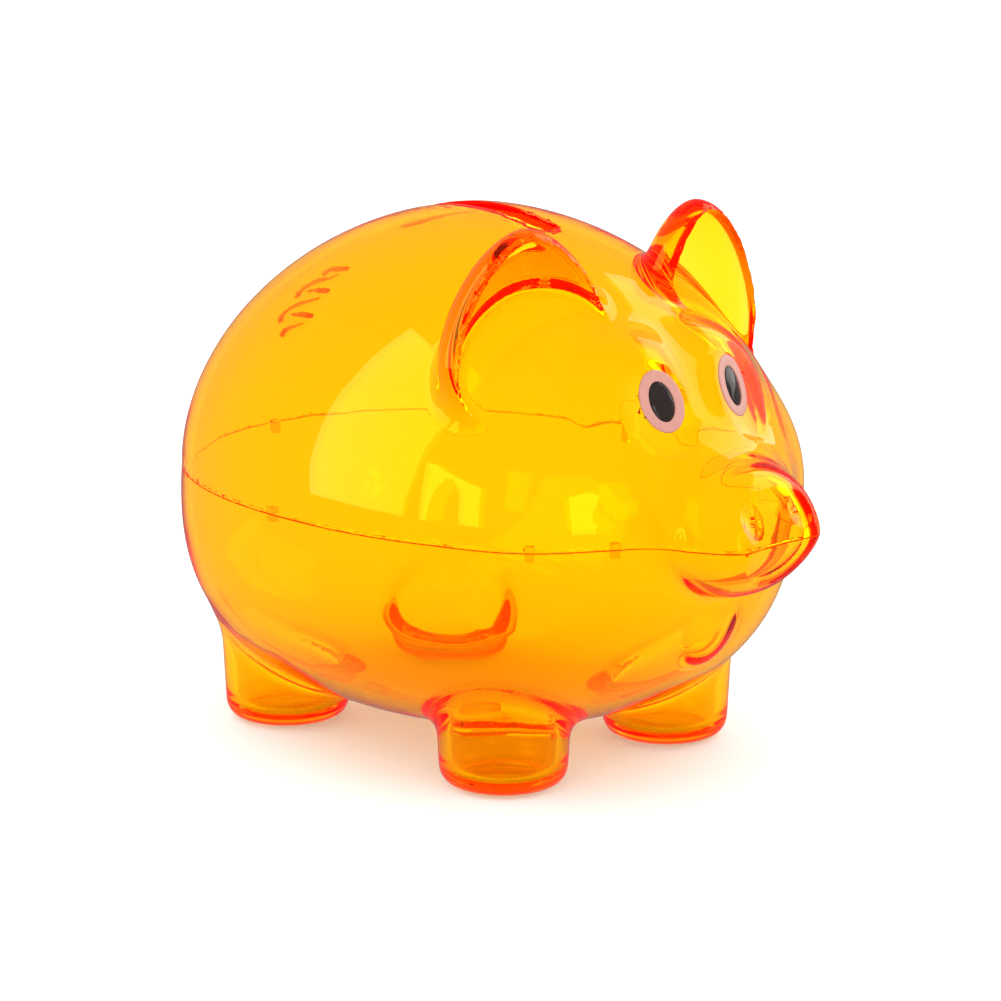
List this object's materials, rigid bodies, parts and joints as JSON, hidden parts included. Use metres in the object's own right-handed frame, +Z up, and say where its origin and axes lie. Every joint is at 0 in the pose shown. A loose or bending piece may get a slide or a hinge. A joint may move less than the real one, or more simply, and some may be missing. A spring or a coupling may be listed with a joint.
{
  "type": "piggy bank",
  "caption": "Hollow pig-shaped money bank of translucent plastic: an upper shell with coin slot and ears snaps onto a lower shell with hollow feet.",
  "frame": {"origin": "centre of the object's outline at the level of the feet's soles", "axes": "+Z up, the pig faces -Y, its left side is +X"},
  "size_m": [0.0872, 0.1202, 0.09],
  "materials": {
    "orange_plastic": "clear tinted polystyrene, polished",
    "eye_white": "smooth printed vinyl, satin",
    "eye_black": "glossy ink"
  },
  "bodies": {
    "lower_shell": {"lower_shell": "orange_plastic"},
    "upper_shell": {"upper_shell": "orange_plastic", "eye_white_right": "eye_white", "eye_white_left": "eye_white", "pupil_right": "eye_black", "pupil_left": "eye_black"}
  },
  "joints": [
    {"name": "shell_lift", "type": "slide", "parent": "lower_shell", "child": "upper_shell", "axis": [0, 0, 1], "range_m": [0, 0.06]}
  ]
}
